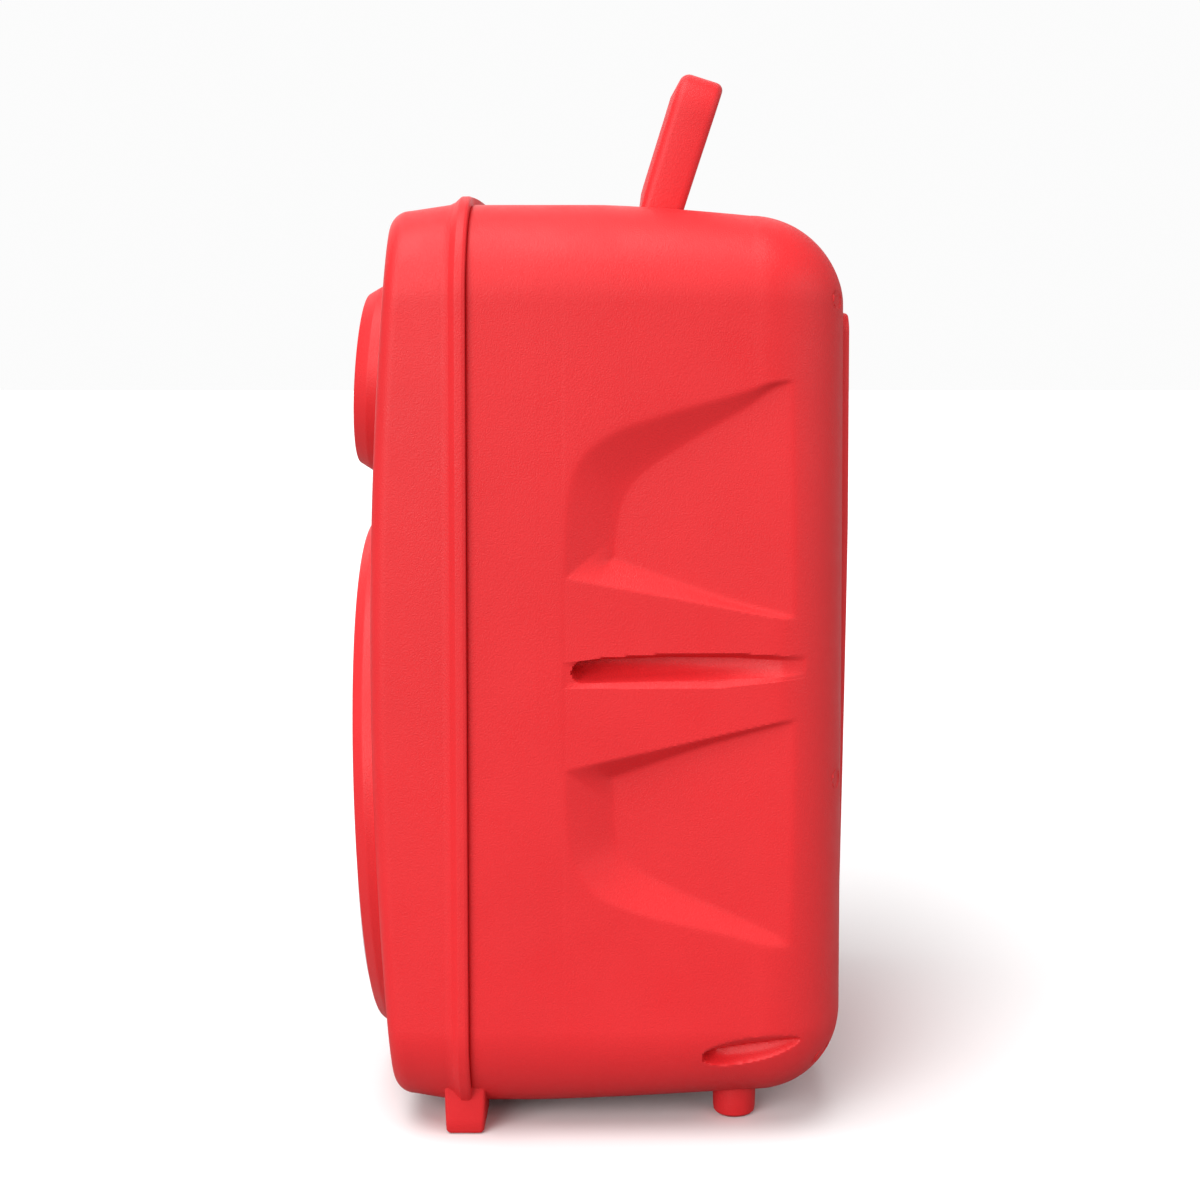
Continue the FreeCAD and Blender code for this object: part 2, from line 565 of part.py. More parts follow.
def knobs():
    for name, (x, z, radius) in KNOBS.items():
        root = f"{FACE} + 1"
        body = fuse(taper(radius, f"{radius} - 1", "knob_height", (x, root, z)),
                    rod(f"{radius} + 1", "1.5", (x, root, z)))
        grooves = [rod("0.9", "knob_height", (gx, f"{root} + 2.2", gz))
                   for gx, gz in knob_groove_places(x, z, radius)]
        pointer = block((f"{x} - 0.6", f"{root} + knob_height - 0.6", f"{z} + {radius} * 0.45"),
                        (f"{x} + 0.6", f"{root} + knob_height + 1", f"{z} + {radius}"))
        socket = rod("shaft_radius", "9", (x, root, z))
        subpart(cut(body, *grooves, pointer, socket), name)
        subpart(rod("shaft_radius", f"{root} + 8.9 - (board_y + 10.5)", (x, "board_y + 10.5", z)),
                name.replace("knob", "shaft"))
    pots = []
    for x, z, _ in KNOBS.values():
        can = block((f"{x} - 6", "board_y + board_thickness", f"{z} - 6"), (f"{x} + 6", "board_y + 14", f"{z} + 6"))
        pots.append(cut(can, rod("shaft_radius + shaft_clearance", "6", (x, "board_y + 10.4", z))))
    subpart(group(*pots), "potentiometers")


def knob_groove_places(x, z, radius, count=16):
    return [(f"{x} + {radius} * cos({360 * i / count + 11})", f"{z} + {radius} * sin({360 * i / count + 11})")
            for i in range(count)]


def buttons():
    for name, x in BUTTONS.items():
        cap = rod("button_radius", "5.1", (x, "panel_floor - 0.3", BUTTON_Z))
        flange = rod("button_radius + 1", "1.1", (x, "panel_floor - 1.2", BUTTON_Z))
        stem = rod("1.8", "5.4", (x, "panel_floor - 6.5", BUTTON_Z))
        subpart(fuse(cap, flange, stem), name)
    switches = [fuse(block((f"{x} - 3", "board_y + board_thickness", f"{BUTTON_Z} - 3"),
                           (f"{x} + 3", "board_y + 7.5", f"{BUTTON_Z} + 3")),
                     rod("1.7", "2", (x, "board_y + 7.5", BUTTON_Z))) for x in BUTTONS.values()]
    subpart(group(*switches), "button_switches")


def power_switch():
    rim = block(("-77", FACE, "161.5"), ("-57", f"{FACE} + 1.6", "190.5"))
    sleeve = block(("-75.2", "panel_floor - 12", "163.3"), ("-58.8", FACE, "188.7"))
    mouth = block(("rocker_x - rocker_half_width - 0.5", "panel_floor - 9", "rocker_z - rocker_half_height - 0.7"),
                  ("rocker_x + rocker_half_width + 0.5", f"{FACE} + 3", "rocker_z + rocker_half_height + 0.7"))
    pin_bores = rod("rocker_pin_radius + rocker_pin_clearance", "rocker_half_width * 2 + 3.4",
                    ("rocker_x - rocker_half_width - 1.7", f"{FACE} - 1", "rocker_z"), "x")
    subpart(cut(fuse(rim, sleeve), mouth, pin_bores), "rocker_bezel")
    rocker = new_body((0, 0, 0))
    sketch = sketch_on(rocker, "YZ_Plane")
    half = "rocker_half_height - 0.9"
    outline(sketch, [("-4.5", "-3"), ("-4.5", "3"), ("2.6", half), ("4.6", half), ("2.6", "0"), ("4.6", f"-({half})"),
                     ("2.6", f"-({half})")])
    pad = rocker.newObject("PartDesign::Pad", "pad")
    pad.Profile = sketch
    pad.SideType = "Symmetric"
    bind(pad, "Length", "rocker_half_width * 2")
    rocker.Placement = FreeCAD.Placement(V(0, 0, 0), FreeCAD.Rotation(V(1, 0, 0), 10))
    place(rocker, ("rocker_x", f"{FACE} - 1", "rocker_z"))
    pins = rod("rocker_pin_radius", "rocker_half_width * 2 + 2.8",
               ("rocker_x - rocker_half_width - 1.4", f"{FACE} - 1", "rocker_z"), "x")
    subpart(fuse(rocker, pins), "power_rocker")


def sockets():
    face = FACE
    board = "board_y + board_thickness"
    behind = "panel_floor - 0.2"
    shell = block(("-46.5", board, "168.3"), ("-33.5", f"{face} + 0.4", "175.3"))
    subpart(fuse(cut(shell, block(("-45.9", f"{board} + 4", "168.9"), ("-34.1", f"{face} + 1", "174.7"))),
                 block(("-45.4", f"{board} + 3.5", "172.2"), ("-34.6", f"{face} - 1.5", "174.2"))), "usb_socket")
    card = block(("-27.7", board, "170.3"), ("-12.3", f"{face} + 0.2", "173.1"))
    subpart(cut(card, block(("-26", f"{board} + 1", "170.9"), ("-14", f"{face} + 1", "172.5"))), "card_socket")
    aux_body = fuse(rod("aux_radius", "4", ("aux_x", behind, "socket_z")),
                    block(("aux_x - 4.5", board, "socket_z - 4.5"), ("aux_x + 4.5", behind, "socket_z + 4.5")))
    subpart(cut(aux_body, rod("aux_bore", "20", ("aux_x", "panel_floor - 11", "socket_z"))), "aux_jack")
    microphone_body = fuse(rod("microphone_radius", "7", ("microphone_x", behind, "socket_z")),
                           block(("microphone_x - 8", board, "socket_z - 8"),
                                 ("microphone_x + 8", behind, "socket_z + 8")))
    microphone_bore = rod("microphone_bore", "30", ("microphone_x", "panel_floor - 14", "socket_z"))
    subpart(cut(microphone_body, microphone_bore), "microphone_jack")
    hexagon = [(f"8.2 * cos({60 * i})", f"8.2 * sin({60 * i})") for i in range(6)]
    nut = padded("XZ_Plane", hexagon, "2.4", at=("microphone_x", FACE, "socket_z"))
    nut_hole = rod("microphone_radius", "10", ("microphone_x", face, "socket_z"))
    subpart(cut(nut, nut_hole), "microphone_nut")
    inlet_body = fuse(rod("inlet_radius", "3.8", ("inlet_x", behind, "socket_z")),
                      block(("inlet_x - 6.5", board, "socket_z - 6"), ("inlet_x + 6.5", behind, "socket_z + 6")))
    inlet = cut(inlet_body, rod("inlet_bore", "30", ("inlet_x", "panel_floor - 11", "socket_z")))
    subpart(fuse(inlet, rod("inlet_pin", "10", ("inlet_x", "panel_floor - 11.5", "socket_z"))), "charging_inlet")
    lamp_tip = ball("lamp_radius", ("lamp_x", f"{FACE} + 1.5", "socket_z"))
    subpart(fuse(rod("lamp_radius", "5.5", ("lamp_x", "panel_floor - 1", "socket_z")), lamp_tip), "charging_lamp")


def inside():
    low = ("-76", "board_y", "163")
    subpart(block(low, ("76", "board_y + board_thickness", "269")), "control_board")
    base = block(("-30", "board_y - 6", "185"), ("30", "board_y - 0.1", "215"))
    fins = [block((f"{x}", "board_y - 26", "185"), (f"{x} + 2", "board_y - 5", "215")) for x in range(-30, 30, 6)]
    subpart(fuse(base, *fins), "heat_sink")
    floor = "cabinet_bottom + wall"
    half = "battery_half_width"
    subpart(block((f"-{half}", "battery_front", f"{floor} + 0.3"), (half, "battery_back", "battery_top")),
            "battery_pack")
    strap = cut(block((f"-{half} - 21", "33", floor), (f"{half} + 21", "53", "battery_top + 3")),
                block((f"-{half} - 0.5", "30", "0"), (f"{half} + 0.5", "60", "battery_top + 0.4")),
                block((f"-{half} - 25", "30", f"{floor} + 3"), (f"-{half} - 3.5", "60", "70")),
                block((f"{half} + 3.5", "30", f"{floor} + 3"), (f"{half} + 25", "60", "70")))
    subpart(strap, "battery_bracket")


def check_and_write():
    doc.recompute()
    failed = [item.Name for item in doc.Objects if "Invalid" in item.State or "Error" in item.State]
    if failed:
        raise SystemExit(f"failed objects: {failed}")
    for item in subparts:
        if item.Shape.isNull() or not item.Shape.isValid() or not item.Shape.Solids:
            raise SystemExit(f"{item.Label} has no valid shape")
    os.makedirs("parts", exist_ok=True)
    for item in subparts:
        item.Shape.exportStep(f"parts/{item.Label}.step")
        print(item.Label, len(item.Shape.Solids), round(item.Shape.Volume))


front_shell()
rear_shell()
shell_gasket()
case_screws()
woofer()
tweeter()
handle()
feet()
panel()
knobs()
buttons()
power_switch()
sockets()
inside()
check_and_write()
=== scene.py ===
import math

import bmesh
import bpy
import numpy as np
from mathutils import Euler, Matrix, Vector


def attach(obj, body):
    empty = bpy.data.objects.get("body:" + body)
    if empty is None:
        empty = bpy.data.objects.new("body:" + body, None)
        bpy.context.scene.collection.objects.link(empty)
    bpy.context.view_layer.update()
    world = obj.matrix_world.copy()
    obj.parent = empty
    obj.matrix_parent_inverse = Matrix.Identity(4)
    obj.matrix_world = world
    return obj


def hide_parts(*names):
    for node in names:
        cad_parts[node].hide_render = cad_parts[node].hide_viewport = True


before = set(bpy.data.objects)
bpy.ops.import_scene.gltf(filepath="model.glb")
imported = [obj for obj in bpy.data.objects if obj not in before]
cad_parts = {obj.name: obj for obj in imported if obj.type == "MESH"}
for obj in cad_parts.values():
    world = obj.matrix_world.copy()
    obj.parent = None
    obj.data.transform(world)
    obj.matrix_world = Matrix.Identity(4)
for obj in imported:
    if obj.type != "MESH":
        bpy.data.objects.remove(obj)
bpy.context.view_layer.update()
MM = 0.001

# Lengths below are in millimetres in the frame of the CAD model: the front faces -Y, X is across, Z is up.
HALF_WIDTH = 125.0
BOTTOM, TOP = 6.0, 366.0
MIDDLE = (BOTTOM + TOP) / 2
CORNER = 40.0
PARTING = -47.5
BACK = 99.0
PLATEAU = 101.9
FRONT_APEX = -92.0
WOOFER_Z, TWEETER_Z = 124, 297
FLANK_FRONT = -10.2          # where the sculpture of the flank begins
PANEL_BOX = (84, 154, 276, 5)    # half width, low, high and corner radius of the control panel's opening
PANEL_FACE = 90.0
BUTTON_TOP = 91.8
BUTTON_Z = 238


# ---------------------------------------------------------------- camera, light, floor

def make_camera():
    pitch_down = 3.326
    camera = bpy.data.cameras.new("camera")
    camera.sensor_width = 36
    camera.lens = 55.34
    camera.shift_x = -0.0253
    camera.shift_y = -0.1
    spot = bpy.data.objects.new("camera", camera)
    spot.location = (0.82324, 0.0149, 0.29953)
    spot.rotation_euler = Euler((math.radians(90 - pitch_down), 0, math.radians(90)))
    bpy.context.scene.collection.objects.link(spot)
    bpy.context.scene.camera = spot


def soft_light(name, direction, spread, power):
    """A wide, even light shining from direction, like a large softbox far away."""
    light = bpy.data.lights.new(name, "SUN")
    light.energy = power
    light.angle = math.radians(spread)
    spot = bpy.data.objects.new(name, light)
    spot.location = Vector(direction) * 2
    spot.rotation_euler = Vector(direction).to_track_quat("Z", "Y").to_euler()
    bpy.context.scene.collection.objects.link(spot)


def show_apart(tree, seen, lighting, output):
    """Show one shader to the camera, and let another one light the object."""
    path = tree.nodes.new("ShaderNodeLightPath")
    mixer = tree.nodes.new("ShaderNodeMixShader")
    tree.links.new(path.outputs["Is Camera Ray"], mixer.inputs[0])
    tree.links.new(lighting.outputs[0], mixer.inputs[1])
    tree.links.new(seen.outputs[0], mixer.inputs[2])
    tree.links.new(mixer.outputs[0], tree.nodes[output].inputs["Surface"])


def make_world():
    """White surroundings, with their light on the object kept lower than the white that is seen."""
    world = bpy.data.worlds.new("studio")
    world.use_nodes = True
    tree = world.node_tree
    dim = tree.nodes["Background"]
    dim.inputs[0].default_value = (1, 1, 1, 1)
    dim.inputs[1].default_value = 0.34
    white = tree.nodes.new("ShaderNodeBackground")
    white.inputs[0].default_value = (1, 1, 1, 1)
    white.inputs[1].default_value = 0.97
    show_apart(tree, white, dim, "World Output")
    bpy.context.scene.world = world


def make_studio():
    bpy.context.scene.view_settings.view_transform = "Standard"
    make_world()
    soft_light("overhead", (0.25, -0.25, 1.0), 48, 2.3)
    soft_light("front_side", (0.85, -0.52, 0.36), 40, 2.08)
    soft_light("back_side", (0.45, 0.9, 0.2), 60, 1.1)
    soft_light("far_side", (-0.85, -0.2, 0.4), 60, 0.5)
    bpy.ops.mesh.primitive_grid_add(x_subdivisions=4, y_subdivisions=4, size=60)
    floor = bpy.context.object
    floor.name = "floor"
    floor.data.materials.append(floor_material())


# ---------------------------------------------------------------- materials

def new_material(name, colour, roughness, metallic=0.0):
    material = bpy.data.materials.new(name)
    material.use_nodes = True
    shader = material.node_tree.nodes["Principled BSDF"]
    shader.inputs["Base Color"].default_value = (*colour, 1)
    shader.inputs["Roughness"].default_value = roughness
    shader.inputs["Metallic"].default_value = metallic
    return material, material.node_tree, shader


def add_node(tree, kind, **inputs):
    node = tree.nodes.new(kind)
    for key, setting in inputs.items():
        node.inputs[key].default_value = setting
    return node


def noise(tree, scale, detail=3.0, roughness=0.55):
    node = add_node(tree, "ShaderNodeTexNoise", Scale=scale, Detail=detail, Roughness=roughness)
    coordinates = tree.nodes.new("ShaderNodeTexCoord")
    tree.links.new(coordinates.outputs["Object"], node.inputs["Vector"])
    return node


def as_colour(shade):
    """An opaque colour from a colour or from one grey level."""
    return (*shade, 1) if isinstance(shade, tuple) else (shade, shade, shade, 1)


def ramp_between(tree, source, low, high, stops):
    """Colour or value ramp from low to high over stops of source."""
    node = tree.nodes.new("ShaderNodeValToRGB")
    node.color_ramp.elements[0].position, node.color_ramp.elements[1].position = stops
    node.color_ramp.elements[0].color = as_colour(low)
    node.color_ramp.elements[1].color = as_colour(high)
    tree.links.new(source, node.inputs["Fac"])
    return node


def finish_material(name, colour, roughness, grain=900.0, depth=0.00004, metallic=0.0, vary=0.06, wear_and_sheen=0.0,
                    spread=0.08, specular=0.5):
    """A material with drifting colour, uneven roughness, a moulded or cast grain, and edges lightened partly as
    rubbed wear and partly as a painted highlight.
    """
    material, tree, shader = new_material(name, colour, roughness, metallic)
    patches = noise(tree, 14.0)
    darker = tuple(c * (1 - vary) for c in colour)
    lighter = tuple(min(1.0, c * (1 + vary)) for c in colour)
    tint = ramp_between(tree, patches.outputs["Fac"], darker, lighter, (0.35, 0.65))
    colour_out = tint.outputs["Color"]
    # Convex edges are lightened by pointiness: partly rubbed wear, partly a painted highlight for the sheen that
    # grazing edges catch.
    if wear_and_sheen:
        geometry = tree.nodes.new("ShaderNodeNewGeometry")
        edge = ramp_between(tree, geometry.outputs["Pointiness"], 0.0, wear_and_sheen, (0.53, 0.62))
        rubbed_and_lit = tuple(min(1.0, c * 1.25 + 0.02) for c in colour)
        mixer = add_node(tree, "ShaderNodeMixRGB", Color2=(*rubbed_and_lit, 1))
        tree.links.new(edge.outputs["Color"], mixer.inputs["Fac"])
        tree.links.new(colour_out, mixer.inputs["Color1"])
        colour_out = mixer.outputs["Color"]
    tree.links.new(colour_out, shader.inputs["Base Color"])
    smudges = noise(tree, 40.0, 5.0)
    gloss = ramp_between(tree, smudges.outputs["Fac"], max(0.02, roughness - spread), min(1, roughness + spread),
                         (0.3, 0.7))
    tree.links.new(gloss.outputs["Color"], shader.inputs["Roughness"])
    shader.inputs["Specular IOR Level"].default_value = specular
    texture = noise(tree, grain, 2.0, 0.6)
    bump = add_node(tree, "ShaderNodeBump", Strength=0.8, Distance=depth)
    tree.links.new(texture.outputs["Fac"], bump.inputs["Height"])
    tree.links.new(bump.outputs["Normal"], shader.inputs["Normal"])
    return material


def floor_material():
    """White paper that throws only a little of its light back up at the object."""
    material, tree, shader = new_material("floor_paper", (0.95, 0.95, 0.95), 0.9)
    shader.inputs["Specular IOR Level"].default_value = 0.1
    dull = add_node(tree, "ShaderNodeBsdfDiffuse", Color=(0.30, 0.30, 0.30, 1))
    show_apart(tree, shader, dull, "Material Output")
    return material


RED = (0.72, 0.022, 0.0265)
MATERIALS = {
    "red_shell": finish_material("red_shell", RED, 0.42, 1700, 0.00022, vary=0.025, wear_and_sheen=0.25, specular=0.3),
    "black_plastic": finish_material("black_plastic", (0.020, 0.020, 0.022), 0.46, 1600, 0.00007, wear_and_sheen=0.3),
    "foam_gasket": finish_material("foam_gasket", (0.03, 0.03, 0.03), 0.9, 700, 0.0002),
    "screw_steel": finish_material("screw_steel", (0.42, 0.42, 0.44), 0.3, 500, 0.00002, metallic=1.0),
    "led_diffuser": finish_material("led_diffuser", (0.82, 0.84, 0.86), 0.32, 900, 0.00003, vary=0.03),
    "grille_metal": finish_material("grille_metal", (0.035, 0.035, 0.038), 0.38, 1500, 0.00005, metallic=0.6,
                                    wear_and_sheen=0.4),
    "basket_steel": finish_material("basket_steel", (0.06, 0.06, 0.065), 0.45, 800, 0.00004, metallic=0.5),
    "surround_rubber": finish_material("surround_rubber", (0.02, 0.02, 0.02), 0.62, 1200, 0.00004),
    "cone_paper": finish_material("cone_paper", (0.045, 0.043, 0.042), 0.8, 420, 0.00025, vary=0.14),
    "coil_copper": finish_material("coil_copper", (0.72, 0.33, 0.16), 0.35, 700, 0.00003, metallic=1.0),
    "spider_cloth": finish_material("spider_cloth", (0.55, 0.36, 0.14), 0.85, 1100, 0.00015),
    "zinc_plate": finish_material("zinc_plate", (0.55, 0.54, 0.48), 0.38, 300, 0.00003, metallic=0.9, vary=0.12),
    "ferrite": finish_material("ferrite", (0.05, 0.05, 0.055), 0.6, 500, 0.00010, vary=0.15),
    "dome_film": finish_material("dome_film", (0.5, 0.5, 0.52), 0.28, 600, 0.00002, metallic=0.8),
    "window_smoke": finish_material("window_smoke", (0.012, 0.013, 0.016), 0.10, 300, 0.000005, spread=0.04),
    "display_dark": finish_material("display_dark", (0.02, 0.03, 0.03), 0.3, 600, 0.00001),
    "knob_plastic": finish_material("knob_plastic", (0.025, 0.025, 0.028), 0.36, 1500, 0.00004, wear_and_sheen=0.5),
    "shaft_metal": finish_material("shaft_metal", (0.6, 0.6, 0.6), 0.3, 400, 0.00002, metallic=1.0),
    "pot_metal": finish_material("pot_metal", (0.45, 0.46, 0.47), 0.4, 400, 0.00003, metallic=0.9),
    "button_rubber": finish_material("button_rubber", (0.05, 0.05, 0.055), 0.55, 1400, 0.00004, wear_and_sheen=0.3),
    "rocker_plastic": finish_material("rocker_plastic", (0.03, 0.03, 0.032), 0.28, 1500, 0.00002, wear_and_sheen=0.4),
    "socket_metal": finish_material("socket_metal", (0.62, 0.62, 0.60), 0.28, 500, 0.00002, metallic=1.0),
    "lamp_lens": finish_material("lamp_lens", (0.75, 0.08, 0.06), 0.15, 500, 0.00001),
    "circuit_board": finish_material("circuit_board", (0.02, 0.16, 0.06), 0.45, 300, 0.00006, vary=0.15),
    "heat_sink": finish_material("heat_sink", (0.55, 0.56, 0.57), 0.42, 700, 0.00004, metallic=1.0),
    "battery_wrap": finish_material("battery_wrap", (0.05, 0.12, 0.32), 0.35, 250, 0.00008, vary=0.1),
    "bracket_steel": finish_material("bracket_steel", (0.5, 0.5, 0.48), 0.4, 500, 0.00004, metallic=0.9),
    "print_white": finish_material("print_white", (0.80, 0.80, 0.78), 0.5, 1500, 0.00003, vary=0.04),
}


# ---------------------------------------------------------------- mesh building

def piece(name, points, faces, material, body="cabinet", replaces=(), sharp=35.0, slot=None):
    """A mesh piece from points in millimetres. It rides on body and stands for the CAD nodes in replaces."""
    mesh = bpy.data.meshes.new(name)
    mesh.from_pydata((np.asarray(points, float) * MM).tolist(), [], [list(face) for face in faces])
    mesh.validate()
    item = bpy.data.objects.new(name, mesh)
    bpy.context.scene.collection.objects.link(item)
    tidy = bmesh.new()
    tidy.from_mesh(mesh)
    bmesh.ops.remove_doubles(tidy, verts=tidy.verts, dist=1e-6)
    bmesh.ops.recalc_face_normals(tidy, faces=tidy.faces)
    tidy.to_mesh(mesh)
    tidy.free()
    mesh.shade_smooth()
    mesh.set_sharp_from_angle(angle=math.radians(sharp))
    mesh.materials.append(MATERIALS[material])
    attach(item, body)
    if replaces:
        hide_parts(*replaces)
    return item


def ring_faces(rows, columns, start=0, closed=True):
    """Quads between successive rings of points."""
    last = columns if closed else columns - 1
    row, column = np.meshgrid(np.arange(rows - 1), np.arange(last), indexing="ij")
    following = (column + 1) % columns
    a = start + row * columns + column
    b = start + row * columns + following
    return np.stack([a, b, b + columns, a + columns], -1).reshape(-1, 4)


def turned(profile, centre_z, segments=192, centre_x=0.0):
    """Points and quads of a profile of (y, radius) turned about an axis along Y."""
    profile = np.asarray(profile, float)
    angle = np.linspace(0, 2 * math.pi, segments, endpoint=False)
    y = np.repeat(profile[:, 0], segments)
    x = centre_x + np.outer(profile[:, 1], np.cos(angle)).ravel()
    z = centre_z + np.outer(profile[:, 1], np.sin(angle)).ravel()
    return np.stack([x, y, z], -1), ring_faces(len(profile), segments)


def smooth_line(corners, steps=8):
    """A Catmull-Rom curve through corners."""
    corners = np.asarray(corners, float)
    padded = np.vstack([2 * corners[0] - corners[1], corners, 2 * corners[-1] - corners[-2]])
    parts = []
    share = np.linspace(0, 1, steps, endpoint=False)[:, None]
    for a, b, c, d in zip(padded, padded[1:], padded[2:], padded[3:]):
        parts.append(0.5 * (2 * b + (c - a) * share + (2 * a - 5 * b + 4 * c - d) * share ** 2
                            + (3 * b - a - 3 * c + d) * share ** 3))
    return np.vstack(parts + [corners[-1:]])


def rounded_path(corners, radius, steps=6):
    """An open path whose inner corners are rounded by arcs of radius."""
    corners = np.asarray(corners, float)
    out = [corners[0]]
    for before, here, after in zip(corners, corners[1:], corners[2:]):
        to_before = (before - here) / np.linalg.norm(before - here)
        to_after = (after - here) / np.linalg.norm(after - here)
        angle = math.acos(np.clip(to_before @ to_after, -1, 1))
        reach = min(radius / math.tan(angle / 2), 0.49 * np.linalg.norm(before - here),
                    0.49 * np.linalg.norm(after - here))
        start, end = here + to_before * reach, here + to_after * reach
        for share in np.linspace(0, 1, steps + 1):
            out.append((1 - share) ** 2 * start + 2 * share * (1 - share) * here + share ** 2 * end)
    out.append(corners[-1])
    return np.array(out)


def distance_to(line, y, z):
    """Distance from each (y, z) to a polyline."""
    best = np.full(y.shape, 1e9)
    for (y0, z0), (y1, z1) in zip(line, line[1:]):
        dy, dz = y1 - y0, z1 - z0
        share = np.clip(((y - y0) * dy + (z - z0) * dz) / (dy * dy + dz * dz + 1e-12), 0, 1)
        best = np.minimum(best, np.hypot(y - y0 - share * dy, z - z0 - share * dz))
    return best


def inside(outline, y, z):
    """Which points (y, z) lie inside a closed outline."""
    found = np.zeros(y.shape, bool)
    for (y0, z0), (y1, z1) in zip(outline, np.roll(outline, -1, axis=0)):
        if z0 == z1:
            continue
        crosses = (z0 > z) != (z1 > z)
        found ^= crosses & (y < (y1 - y0) * (z - z0) / (z1 - z0) + y0)
    return found


def soft_min(a, b, width):
    return 0.5 * (a + b - np.sqrt((a - b) ** 2 + width ** 2))


# ---------------------------------------------------------------- cabinet outline

TOP_STOPS = np.concatenate([[-80, -77.2, -76.3, -75.9, -75], np.linspace(-72, 72, 61), [75, 75.9, 76.3, 77.2, 80]])
SIDE_STEPS, HIGH_STEPS, LOW_STEPS, BOTTOM_STEPS = 480, 28, 70, 40

# rows lie closer together along the upper edge of the slot
SIDE_STOPS = np.interp(np.linspace(0, 1, SIDE_STEPS), [0, 0.38, 0.58, 1], [0, 0.474, 0.516, 1])


def front_view(half, low, high, radius):
    """The front view's rounded outline: places, outward normals, and how much each point is side, top, bottom."""
    top_stops = TOP_STOPS * (half - radius) / (HALF_WIDTH - CORNER) if half != HALF_WIDTH else TOP_STOPS
    side = low + radius + (high - low - 2 * radius) * SIDE_STOPS
    turn = np.linspace(0, math.pi / 2, HIGH_STEPS + 2)[1:-1]
    low_turn = np.linspace(0, math.pi / 2, LOW_STEPS + 2)[1:-1]
    flat = np.linspace(-(half - radius), half - radius, BOTTOM_STEPS)

    def corner(x, z, angles):
        normal = np.stack([np.cos(angles), np.sin(angles)], -1)
        return np.array([x, z]) + radius * normal, normal

    parts = [
        (np.stack([np.full_like(side, half), side], -1), np.tile([1.0, 0.0], (len(side), 1))),
        corner(half - radius, high - radius, turn),
        (np.stack([top_stops[::-1], np.full_like(top_stops, high)], -1), np.tile([0.0, 1.0], (len(top_stops), 1))),
        corner(radius - half, high - radius, turn + math.pi / 2),
        (np.stack([np.full_like(side, -half), side[::-1]], -1), np.tile([-1.0, 0.0], (len(side), 1))),
        corner(radius - half, low + radius, low_turn + math.pi),
        (np.stack([flat, np.full_like(flat, low)], -1), np.tile([0.0, -1.0], (len(flat), 1))),
        corner(half - radius, low + radius, low_turn + 1.5 * math.pi),
    ]
    places = np.vstack([part[0] for part in parts])
    normals = np.vstack([part[1] for part in parts])
    return places, normals


BASE, NORMAL = front_view(HALF_WIDTH, BOTTOM, TOP, CORNER)
COUNT = len(BASE)
SIDE_SHARE = NORMAL[:, 0] ** 2
TOP_SHARE = np.where(NORMAL[:, 1] > 0, NORMAL[:, 1] ** 2, 0)
BOTTOM_SHARE = np.where(NORMAL[:, 1] < 0, NORMAL[:, 1] ** 2, 0)
HEIGHT_SHARE = np.clip(1 - ((BASE[:, 1] - MIDDLE) / (MIDDLE - BOTTOM - CORNER)) ** 2, 0, 1)
WIDTH_SHARE = np.clip(1 - (BASE[:, 0] / (HALF_WIDTH - CORNER)) ** 2, 0, 1)


def mixed(side, top, bottom):
    return SIDE_SHARE * side + TOP_SHARE * top + BOTTOM_SHARE * bottom


def outline_at(inset, crown):
    """The outline moved inwards by inset, with its sides bulged and its top crowned."""
    bulge = SIDE_SHARE * (HEIGHT_SHARE - 1) * 1.0 + TOP_SHARE * WIDTH_SHARE * crown
    return BASE + NORMAL * (bulge - inset)[:, None]


def plateau_plane(z):
    """The raised middle of the back, which sinks towards the back face below the panel."""
    return PLATEAU - 3.2 * np.clip((240 - z) / 180, 0, 1) ** 1.2


# ---------------------------------------------------------------- sculpted flank of the rear shell

UPPER_EDGE = smooth_line([(140, 316), (81, 300.5), (47.5, 291.7), (24, 284.2), (10.2, 279), (-0.2, 272.1),
                          (-6.4, 263.7), (-9.4, 252.5), (-10.2, 238), (-10.4, 221)])
UPPER_FLOOR = smooth_line([(140, 318), (79, 298.5), (58.6, 286.3), (35.2, 272.9), (18.6, 261.6), (11.7, 252.5),
                           (8.7, 241), (7.5, 228)])
UPPER_BLADE = np.array([(-10.4, 221), (79.8, 202.8), (140, 190.6)])
UPPER_FOOT = np.array([(7.5, 228), (79.8, 203.2), (140, 182.5)])
LOWER_EDGE = smooth_line([(-10.4, 147.6), (-10.2, 128), (-8.4, 112.9), (-4.8, 104.8), (1.3, 97.9), (11.7, 92.5),
                          (27.1, 87.5), (46.7, 82.1), (62.5, 77.2), (81, 71), (140, 52)])
LOWER_FLOOR = smooth_line([(7.5, 143), (7.7, 128), (8.4, 118), (11.7, 112.1), (19.4, 105.6), (35.2, 97.9),
                           (51, 91.3), (70.6, 82.5), (81, 76), (140, 42)])
LOWER_BLADE = np.array([(-10.4, 147.6), (77.5, 168.7), (140, 183.7)])
LOWER_FOOT = np.array([(7.5, 143), (77.5, 168.4), (140, 191)])


def recess_depth(edge, floor, blade, foot, y, z):
    """Depth of one C-shaped recess: a slope from its edge down to its floor, negative outside."""
    rim = np.vstack([edge, blade[1:]]) if edge[-1][0] < 0 else np.vstack([edge[::-1], blade[1:]])
    base = np.vstack([floor, foot[1:]]) if edge[-1][0] < 0 else np.vstack([floor[::-1], foot[1:]])
    out, low = distance_to(rim, y, z), distance_to(base, y, z)
    in_rim, in_base = inside(rim, y, z), inside(base, y, z)
    share = np.where(in_base, 1 + low / 6, out / (out + low + 1e-9))
    floor_depth = np.interp(y, [8, 40, 79], [7.6, 5.8, 3.5])
    slope = soft_min(floor_depth * soft_min(share, 1.0, 0.10), out * 1.25, 0.4)
    return np.where(in_rim | in_base, slope, -out * 0.45)


